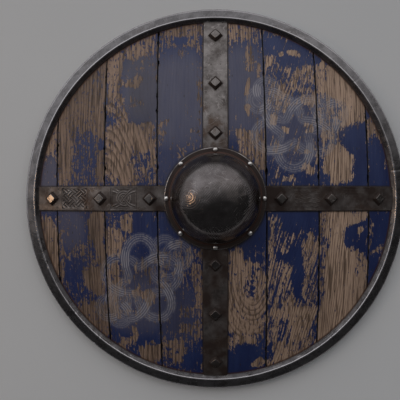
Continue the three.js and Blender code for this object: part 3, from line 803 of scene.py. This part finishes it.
def rim_piece():
    foot = face_z(RIM_FOOT_RADIUS) + STRAP_GAP
    lip_z = face_z(LIP_RADIUS) - PLANK_THICKNESS - BACK_GAP
    line, share = rim_profile(foot, lip_z)
    from_foot = np.hypot(line[:, 0] - RIM_FOOT_RADIUS, line[:, 1] - foot)
    foot_row = from_foot.round(6).argmin()
    angle = np.linspace(0, 2 * math.pi, RIM_COLUMNS, endpoint=False)
    radius = np.repeat(line[:, :1], RIM_COLUMNS, 1)
    height = np.repeat(line[:, 1:], RIM_COLUMNS, 1)
    theta = np.broadcast_to(angle, radius.shape)

    # Over a strap the foot is cut back up its own slope.
    low = (radius < 358) & (height > lip_z + 6) & (height < foot + STRAP_TOP)
    from_strap = abs((theta + math.pi / 4) % (math.pi / 2) - math.pi / 4)
    lifted = low & (from_strap * radius < NOTCH)
    slope_radius = RIM_FOOT_RADIUS + BEVEL_RUN * (STRAP_TOP / BEVEL_RISE)
    outer_face = np.arange(len(line))[:, None] <= foot_row
    clear = np.where(outer_face, 0.08, 0.04 * (height - foot) / STRAP_TOP)
    height = np.where(lifted, foot + STRAP_TOP + clear, height)
    radius = np.where(lifted & (radius < slope_radius), slope_radius - 0.1 * (slope_radius - radius), radius)

    # Hammer marks, a little wander, and nicks; nothing goes outward.
    corner_z = foot - CORNER_DROP
    outside = smooth(354, 357, radius) * smooth(corner_z - 6, corner_z, height)
    around = RIM_RADIUS * np.cos(theta), RIM_RADIUS * np.sin(theta) + radius
    dents = 0.35 * abs(noise2(*around, 22, 201, 2)) + 0.9 * np.clip(noise2(*around, 38, 202, 2) - 0.6, 0, 1)
    height = height - outside * dents * (height > foot + STRAP_TOP)
    pressed = 0.5 * np.clip(noise2(*around, 60, 203, 2), 0, 1) * smooth(372, 380, radius)
    radius = radius - pressed
    for degrees, width, depth in RIM_NICKS:
        turn = abs((theta - math.radians(degrees) + math.pi) % (2 * math.pi) - math.pi)
        nick = np.clip(1 - turn * RIM_RADIUS / width, 0, 1) * outside
        height = height - nick * depth
        radius = radius - nick * 0.5 * depth * smooth(370, 379, radius)
    # The rim's rounded corners and outer corner are made bright: worn steel and a painted highlight.
    edge = np.maximum(share[:, None], 0.75 * smooth(374.5, 377, radius)) * outside
    grime_and_shade = (1 - smooth(0.2, 1.6, height - foot)) * (radius < 354) * 0.8
    quads = grid_quads(len(line), RIM_COLUMNS, wrap=True, wrap_rows=True)
    data = {"edge": edge.ravel(), "grime_and_shade": grime_and_shade.ravel()}
    return mesh_object("rim_steel", revolved(radius, theta, height), quads, data)


place(rim_piece(), RIM_STEEL, "rim_steel", "rim")


# ---- Boss ----

BOSS_PLATE = 2  # thickness of the dome
FILLET = 3  # between the dome and its flange
HUB = 0.3  # radius of the last ring round the crown
SHOULDER = 2.4  # the extra rise just outside the cap that the dome is worn bright on
SHOULDER_RADII = (61, 72)
BOSS_DENTS = [  # x, y, size and depth
    (22, 40, 7, 1.3), (33, 30, 5, 0.9), (8, 52, 5, 0.6), (40, -28, 6, 0.8), (-20, -45, 7, 0.8),
    (48, 12, 6, 0.8),
]
FLANGE_ROWS = 8  # rows of points between the flange's lower edge and its fillet


def under(r):
    return face_z(r) + STRAP_GAP


def boss_profile(fillet_radius, fillet_z, rise):
    """The boss's section from its hollow's crown round the flange to its crown, and the first outer row."""
    dome_foot = fillet_z + FILLET
    inside = BOSS_RADIUS - BOSS_PLATE
    rows = [
        (inside * math.cos(a), dome_foot + (rise - BOSS_PLATE) * math.sin(a))
        for a in np.linspace(math.pi / 2, 0, 15)
    ]
    rows[0] = (HUB, rows[0][1])
    rows += [(inside, under(inside)), (90, under(90)), (FLANGE_RADIUS - 0.4, under(FLANGE_RADIUS))]
    first_outer = len(rows)
    top = face_z(FLANGE_RADIUS) + FLANGE_TOP
    rows += [
        (FLANGE_RADIUS, under(FLANGE_RADIUS) + 0.5), (FLANGE_RADIUS, top - 1.0),
        (FLANGE_RADIUS - 0.35, top - 0.3), (FLANGE_RADIUS - 1.1, top),
    ]
    for r in np.linspace(FLANGE_RADIUS - 2.2, fillet_radius + 0.6, 5):
        rows.append((r, face_z(r) + FLANGE_TOP))
    for a in np.linspace(0.1, 1.4, 6):
        rows.append((fillet_radius - FILLET * math.sin(a), fillet_z + FILLET * (1 - math.cos(a))))
    for a in np.linspace(0.01, math.pi / 2, 84):
        r = BOSS_RADIUS * math.cos(a)
        shoulder = SHOULDER * (1 - smooth(*SHOULDER_RADII, r))
        rows.append((r, dome_foot + (rise - SHOULDER) * math.sin(a) + shoulder))
    rows[-1] = (HUB, rows[-1][1])
    return np.array(rows), first_outer


def boss_piece():
    fillet_radius = BOSS_RADIUS + FILLET
    fillet_z = face_z(fillet_radius) + FLANGE_TOP
    dome_foot = fillet_z + FILLET
    line, first_outer = boss_profile(fillet_radius, fillet_z, CROWN_Z - dome_foot - 0.1)

    # Each quarter turn is laid out about a strap, in units of the notch's half angle, which ends at 1.
    quarter = np.concatenate([np.linspace(0, 1, 12), [1.004], np.linspace(1.004, 3, 22)[1:]])
    quarter = np.concatenate([-quarter[:0:-1], quarter])[:-1]
    columns = 4 * len(quarter)
    radius = np.repeat(line[:, :1], columns, 1)
    height = np.repeat(line[:, 1:], columns, 1)
    notch = np.arcsin(NOTCH / np.maximum(radius, BOSS_RADIUS - 1))
    share = np.tile(quarter, 4)[None]
    size = abs(share)
    spread = np.where(size <= 1, size * notch, notch + (size - 1) / 2 * (math.pi / 4 - notch))
    theta = np.sign(share) * spread + np.repeat(np.arange(4) * math.pi / 2, len(quarter))[None]
    index = np.arange(len(line))[:, None] - first_outer
    beneath = (index >= -3) & (index <= 0)
    height = np.where(beneath & (size <= 1.001), height + STRAP_TOP, height)

    # The dome is hammered, save round the place that is rubbed bright, and dented.
    x, y = radius * np.cos(theta), radius * np.sin(theta)
    dome = (index > FLANGE_ROWS) * smooth(0, 10, height - fillet_z)
    sunk = 0.24 * abs(noise2(x, y, 15, 301, 2)) + 0.35 * abs(noise2(x, y, 42, 302, 1))
    sunk = sunk * smooth(6, 26, np.hypot(x + 47, y - 3))
    for dent_x, dent_y, width, depth in BOSS_DENTS:
        sunk = sunk + depth * np.exp(-(((x - dent_x) ** 2 + (y - dent_y) ** 2) / width**2))
    shrink = 1 - sunk * dome / np.maximum(np.hypot(radius, height - dome_foot), 1)
    radius = np.where(dome > 0, radius * shrink, radius)
    height = np.where(dome > 0, dome_foot + (height - dome_foot) * shrink, height)
    flange = (index > 3) & (index <= FLANGE_ROWS)
    height = height - flange * 0.3 * abs(noise2(x, y, 9, 303, 2))

    # The flange's outer edge is made bright: worn steel and a painted highlight line.
    edge = ((index >= 1) & (index <= 3)) * (0.5 + 0.45 * noise2(x, y, 16, 304, 3))
    foot = np.exp(-(((radius - BOSS_RADIUS - 0.5) / 3) ** 2)) * (index > 2)
    grime_and_shade = np.maximum(foot, 1.05 * flange) * 0.9
    centres = [[0, 0, line[0, 1]], [0, 0, height[-1].mean()]]
    points = np.concatenate([revolved(radius, theta, height), centres])
    quads, caps = tube(len(line), columns)
    data = {"edge": np.append(edge.ravel(), [0, 0]), "grime_and_shade": np.append(grime_and_shade.ravel(), [0, 0])}
    return mesh_object("boss_steel", points, quads, data, caps)


place(boss_piece(), BOSS_STEEL, "boss_steel", "boss")


# ---- Straps ----

STRAND = 0.47  # half a strand's width, as a share of the spacing of the plait's strands


def cord(share):
    """Height of a band with a groove along its middle, where `share` runs from 0 there to 1 at its edge."""
    return 0.5 - 0.5 * np.cos(2 * math.pi * share)


def line_at(distance, half_width):
    return np.clip(1 - abs(distance) / half_width, 0, 1)


def plait(a, b):
    """A carved panel's height, from 0 for its ground to 1, at places a along and b across from its middle."""
    p, q = (a / 17.7 + b / 16.4), (a / 17.7 - b / 16.4)
    strand_p, strand_q = abs(p - np.round(p)), abs(q - np.round(q))
    over = (np.round(p) + np.round(q)) % 2 == 0
    near_p, near_q = strand_p < STRAND, strand_q < STRAND
    top_p = near_p & (over | ~near_q)
    top_q = near_q & ~top_p
    ridges = cord(np.where(top_p, strand_p, strand_q) / STRAND)
    border = np.hypot(np.maximum(abs(a) - 18.5, 0), np.maximum(abs(b) - 12.5, 0)) - 6.3
    turned = 0.5 + 0.5 * np.cos(math.pi * np.clip(border / 1.9, -1, 1))
    return np.maximum(np.where((top_p | top_q) & (border < -0.8), ridges, 0.0), turned)


def ringed(a, b):
    """Two bands woven through a ring, inside a frame line."""
    band = 4.3  # half its width
    from_middle = np.hypot(a, b)
    ring = from_middle - 11.5
    curve = 3.6 * np.sin(a / 7.0)
    rising, falling = (b - 0.75 * a - curve) * 0.8, (b + 0.75 * a + curve) * 0.8
    over_ring = a * b > 0
    height = np.zeros_like(a)
    laid = ((ring, True), (rising, over_ring), (falling, ~over_ring), (ring, (a > 0) & (from_middle > 6)))
    for off, wins in laid:
        shown = (abs(off) < band) & (wins | (height == 0))
        height = np.where(shown, np.maximum(cord(off / band), 0.12), height)
    frame_line = np.maximum(abs(a) - 24.0, abs(b) - 18.5)
    return np.maximum(height * (frame_line < -1.6), line_at(frame_line, 1.1))


def dashes(a, b):
    """Rows of short wavy strokes."""
    row = np.round(b / 7.2)
    dash = np.sin(a * (0.55 + 0.08 * (row % 3)) + 2.1 * row) > -0.35
    return line_at(b - 7.2 * row - 1.2 * np.sin(a / 2.6 + row), 1.3) * dash


def bars(a, b):
    """Lines along the strap that end at an arc."""
    level = np.where(a < 4, line_at(b - 5.6 * np.round(b / 5.6), 1.0), 0)
    return np.maximum(level, np.where(a > 4, line_at(np.hypot(a - 4, b) - 19, 1.0), 0))


PANEL_HALF = (26.5, 20.5)
PANELS = {"left": [(175, ringed, 0.9), (275, plait, 1.0)], "right": [(175, dashes, 0.45), (275, bars, 0.25)]}
SIDE_SHADE = {"right": 0.95, "left": 0.5, "top": 0.08, "bottom": 0.95}  # how far each strap is darkened: painted shade, strongest on the bottom and right straps
BEND = 1.2  # width of the rounded edges


def strap_piece(side):
    start, end, half = STRAP_START + 0.2, STRAP_END - 0.2, STRAP_WIDTH / 2
    panels = PANELS.get(side, [])
    steps = [start]
    while steps[-1] < end - 0.5:
        at_panel = any(abs(steps[-1] - middle) < PANEL_HALF[0] + 2.5 for middle, _, _ in panels)
        steps.append(min(end, steps[-1] + (0.55 if at_panel else 2.4)))
    cell = 0.6 if panels else 2.2
    inner = np.linspace(BEND - half, half - BEND, round((2 * half - 2 * BEND) / cell) + 1)
    columns = np.concatenate([[-half, -half + 0.2, -half + 0.6], inner, [half - 0.6, half - 0.2, half]])
    along, across = [m.ravel() for m in np.meshgrid(steps, columns, indexing="ij")]
    from_edge = half - abs(across)

    seed = 400 + 10 * list(SIDES).index(side)
    dents = 0.22 * abs(noise2(along, across, 30, seed, 2))
    dents += 0.6 * np.clip(noise2(along, across, 16, seed + 1, 2) - 0.6, 0, 1)
    nibble = 0.35 * np.clip(noise2(along, np.sign(across) * 50, 12, seed + 2, 3), 0, 1)
    nibble = nibble * (1 - smooth(0, 1.2, from_edge))
    worn = 1 - 0.35 * np.clip(noise2(along, across, 12, seed + 4, 2) + 0.2, 0, 1)
    sunk, ground, ridge = np.zeros((3, len(along)))
    for middle, carving, depth in panels:
        inside = 1.0
        for reach, away in zip(PANEL_HALF, (abs(along - middle), abs(across))):
            inside = inside * (1 - smooth(reach - 0.8, reach, away))
        relief = carving(along - middle, across) * worn
        sunk += inside * depth * (1 - relief)
        ground += inside * ((1 - relief) * 0.75 * depth)
        ridge += inside * smooth(0.6, 1.0, relief) * 0.68 * depth
    edge_drop = 0.55 * (1 - np.minimum(from_edge, BEND) / BEND) ** 2
    lowered = np.minimum(edge_drop + dents * 0.6 + sunk, 1.6)

    # Grime lies in the carving's ground and in clouds; the dark lines along the edges, round the studs and by
    # the boss are painted shade with some grime.
    grime_and_shade = np.clip(np.minimum(1, ground * 0.9) + (from_edge <= 0.7), 0, 1)
    across = across - np.sign(across) * nibble
    for r in STUD_RADII:
        grime_and_shade = np.maximum(grime_and_shade, 0.9 * (1 - smooth(14.2, 16.2, abs(along - r) + abs(across))))
    grime_and_shade = np.maximum(grime_and_shade, 0.6 * (1 - smooth(97, 100, along)))
    # Painted shade: whole straps are darkened by side, and more towards the boss, in clouds.
    side_shade = SIDE_SHADE[side] + 0.4 * (1 - smooth(100, 150, along))
    clouds = 0.75 + 0.5 * noise2(along, across, 18, seed + 5, 3)
    grime_and_shade = np.maximum(grime_and_shade, side_shade * (1 - 0.8 * ridge) * clouds)

    angle = SIDES[side]
    x = (along * math.cos(angle) - across * math.sin(angle))
    y = (along * math.sin(angle) + across * math.cos(angle))
    z = face_z(np.hypot(x, y))
    top = np.stack([x, y, z + STRAP_TOP - 0.05 - lowered], -1)
    bottom = np.stack([x, y, z + STRAP_GAP + 0.05], -1)
    points, quads = slab(top, bottom, grid_quads(len(steps), len(columns))[:, ::-1])
    data = {"edge": np.append(ridge, 0 * ridge), "grime_and_shade": np.append(grime_and_shade, 0 * grime_and_shade)}
    return mesh_object(f"strap_{side}_steel", points, quads, data)


for side in SIDES:
    place(strap_piece(side), STRAP_STEEL, "strap_steel", f"strap_{side}")


# ---- Studs and rivets ----

GRIP_HALF_LENGTH, GRIP_WIDTH = 250, 32


def grip_thickness(x):
    reach = np.minimum(1, abs(x) / 75)
    return 11 + 14 * np.cos(reach * math.pi / 2) ** 2


def seat_axes(x, y):
    """The point on the boards' faces at (x, y) and the dish's three directions there."""
    normal = np.array([x, y, math.sqrt(DISH_RADIUS**2 - x * x - y * y)]) / DISH_RADIUS
    east = np.array([normal[2], 0, -normal[0]]) / math.hypot(normal[0], normal[2])
    return np.array([x, y, face_z(math.hypot(x, y))]), east, np.cross(normal, east), normal


def fastener(name, r, angle, head, head_rings, columns, pointed, seed):
    """A closed piece through the boards at a polar place, with a shank that is clenched behind them.

    Each ring is a radius, a height over the boards' faces, and a share of bright edge and of darkening, grime
    with painted shade, from the clench up. The head's rings are circles, or lozenges with rounded points
    where it is `pointed`."""
    x, y = r * math.cos(angle), r * math.sin(angle)
    through_grip = abs(y) < GRIP_WIDTH / 2 and abs(x) < GRIP_HALF_LENGTH
    clench = -PLANK_THICKNESS - BACK_GAP - (grip_thickness(x) + BACK_GAP if through_grip else 0)
    rings = [
        (3.8, clench - 1.35, 0, 0.2), (4.3, clench - 1.0, 0.4, 0.2),
        (4.3, clench - 0.3, 0, 0.4), (3.9, clench, 0, 0.6), (2.35, clench, 0, 0.6),
        (2.35, head, 0, 0.6),
    ]
    first_of_head = len(rings)
    rings += head_rings
    origin, east, north, normal = seat_axes(x, y)
    turn = np.linspace(0, 2 * math.pi, columns, endpoint=False)
    lozenge = 1 / (abs(np.cos(turn)) ** 1.12 + abs(np.sin(turn)) ** 1.12) ** (1 / 1.12)
    points = []
    for i, (radius, height, _, _) in enumerate(rings):
        jitter = 1 - 0.02 * abs(noise2(turn * 4, np.full(columns, i * 1.7), 1.5, seed, 2))
        reach = radius * (lozenge if pointed and i >= first_of_head else 1) * jitter
        px, py = reach * np.cos(turn), reach * np.sin(turn)
        points.append(origin + px[:, None] * east + py[:, None] * north + height * normal)
    points.append([origin + ring[1] * normal for ring in (rings[0], rings[-1])])
    edge, grime_and_shade = [np.repeat([ring[k] for ring in rings], columns) for k in (2, 3)]
    data = {"edge": np.append(edge, [0.0, rings[-1][2] * 0.4]), "grime_and_shade": np.append(grime_and_shade, [0.0, 0.0])}
    quads, caps = tube(len(rings), columns)
    return mesh_object(name, np.concatenate(points), quads, data, caps)


STUD_HEAD = [  # radius, height, and shares of bright edge and of grime, which on the bevels is painted shade
    (12.6, 0.0, 0, 1.2), (13.7, 0.3, 0, 1.2), (13.8, 0.8, 0, 1.2), (13.4, 1.25, 0, 1.1), (12.0, 2.35, 0, 1.1),
    (10.4, 3.6, 0, 1.1), (9.8, 4.3, 0, 1.0), (9.3, 4.9, 0, 0.7), (9.0, 5.3, 0.2, 0.1), (8.6, 5.45, 0.3, 0),
    (8.2, 5.47, 0, 0), (3.6, 5.44, 0, 0), (1.2, 5.42, 0, 0),
]

for side, angle in SIDES.items():
    head = STRAP_TOP + 0.3
    rings = [(radius, head + height, edge, grime_and_shade) for radius, height, edge, grime_and_shade in STUD_HEAD]
    for i, r in enumerate(STUD_RADII):
        seed = 500 + 7 * i + int(10 * angle)
        stud = fastener(f"stud_{side}_{i + 1}_steel", r, angle, head, rings, 64, True, seed)
        place(stud, STUD_STEEL, "stud_steel", f"stud_{side}_{i + 1}")

head = FLANGE_TOP + 0.3
rings = [(4.2, head, 0, 1.0)]
for a in np.linspace(0.05, 1.45, 9):
    height = head + 0.15 + 3.2 * math.sin(a)
    # The dark share at the foot of each rivet's head is painted shade.
    rings.append((4.65 * math.cos(a), height, 0.25 * math.sin(a), max(0, 0.6 - 2.4 * a)))
for i in range(8):
    name = f"boss_rivet_{i + 1}"
    rivet = fastener(f"{name}_steel", RIVET_RADIUS, i * math.pi / 4, head, rings, 32, False, 560 + i)
    place(rivet, RIVET_STEEL, "rivet_steel", name)


# ---- Grip ----


def grip_piece():
    x = np.linspace(-GRIP_HALF_LENGTH, GRIP_HALF_LENGTH, 201)
    angle = np.linspace(0, 2 * math.pi, 40, endpoint=False)
    across, down = [np.sign(way) * abs(way) ** 0.42 for way in (np.cos(angle), np.sin(angle))]
    end = np.minimum(1, (GRIP_HALF_LENGTH - abs(x)) / 6)
    trim = (0.82 + 0.18 * np.sqrt(1 - (1 - end) ** 2))[:, None]
    half = grip_thickness(x) / 2
    middle = face_z(abs(x)) - PLANK_THICKNESS - BACK_GAP - 0.1 - half
    y = across[None] * (GRIP_WIDTH / 2 - 0.2) * trim
    z = middle[:, None] + down[None] * half[:, None] * trim
    x_all = np.broadcast_to(x[:, None], y.shape)
    rub = 0.35 * abs(noise2(x_all, y + z, 24, 601, 2))
    y = y * (1 - rub / (GRIP_WIDTH / 2))
    hand = np.repeat(np.exp(-((x / 60) ** 2)), len(angle))
    points = np.stack([x_all, y, z], -1).reshape(-1, 3)
    centres = [[x[i], 0, middle[i]] for i in (0, -1)]
    quads, caps = tube(len(x), len(angle))
    data = {"edge": np.append(hand, [0, 0])}
    return mesh_object("grip_wood", np.concatenate([points, centres]), quads, data, caps)


place(grip_piece(), GRIP_WOOD, "grip_wood", "grip")


# ---- Floor, lights and camera ----


def floor():
    reach = 12000
    points = [(-reach, -reach, 0), (reach, -reach, 0), (reach, reach, 0), (-reach, reach, 0)]
    piece = mesh_object("floor", points, [(0, 1, 2, 3)])
    g = Graph("floor_grey")
    colour = g.mix(g.noise(g.place(), 3.0), (0.66, 0.66, 0.66), (0.7, 0.7, 0.698))
    g.shade(Base_Color=colour, Roughness=0.9)
    piece.data.materials.append(g.material)


TARGET = np.array([0, 0, 0.05])  # what the lights are turned to


def softbox(name, place_at, size, power, colour):
    light = bpy.data.lights.new(name, "AREA")
    light.shape = "RECTANGLE"
    light.size, light.size_y = size
    light.energy = power
    light.color = colour
    lamp = bpy.data.objects.new(name, light)
    lamp.location = place_at
    aim = TARGET - np.array(place_at)
    yaw = math.atan2(aim[0], -aim[1])
    pitch = math.atan2(math.hypot(aim[0], aim[1]), -aim[2])
    lamp.rotation_euler = (pitch, 0, math.pi + yaw)
    bpy.context.scene.collection.objects.link(lamp)


floor()
softbox("left_key", (-1.0, 1.15, 1.3), (1.7, 1.4), 1.8, (0.95, 0.96, 1.0))
softbox("right_key", (1.6, 1.3, 1.8), (2.6, 2.6), 4.2, (1.0, 0.97, 0.94))
softbox("warm_side", (-1.72, 0.03, 1.17), (0.25, 0.25), 1.5, (1.0, 0.66, 0.38))


def studio_world():
    """A soft grey surround, bright towards the shield's top and upper left and dark towards its foot."""
    world = bpy.data.worlds.new("studio")
    world.use_nodes = True
    nodes, links = world.node_tree.nodes, world.node_tree.links
    way = nodes.new("ShaderNodeTexCoord").outputs["Generated"]
    facing = nodes.new("ShaderNodeVectorMath")
    facing.operation = "DOT_PRODUCT"
    facing.inputs[1].default_value = (-0.29, 0.957, 0.0)
    links.new(way, facing.inputs[0])
    ramp = nodes.new("ShaderNodeMapRange")
    ramp.interpolation_type = "SMOOTHSTEP"
    for key, value in {"From Min": -0.15, "From Max": 0.65, "To Min": 0.06, "To Max": 0.86}.items():
        ramp.inputs[key].default_value = value
    links.new(facing.outputs["Value"], ramp.inputs["Value"])
    links.new(ramp.outputs[0], nodes["Background"].inputs["Strength"])
    nodes["Background"].inputs["Color"].default_value = (0.96, 0.97, 1.0, 1)
    bpy.context.scene.world = world


studio_world()

camera = bpy.data.cameras.new("camera")
camera.lens = 46.9
camera.sensor_width = 36
camera.shift_x = -0.0385
camera.shift_y = -0.0035
eye = bpy.data.objects.new("camera", camera)
eye.location = (0, 0, 1.062)
bpy.context.scene.collection.objects.link(eye)
bpy.context.scene.camera = eye
bpy.context.scene.view_settings.view_transform = "Standard"
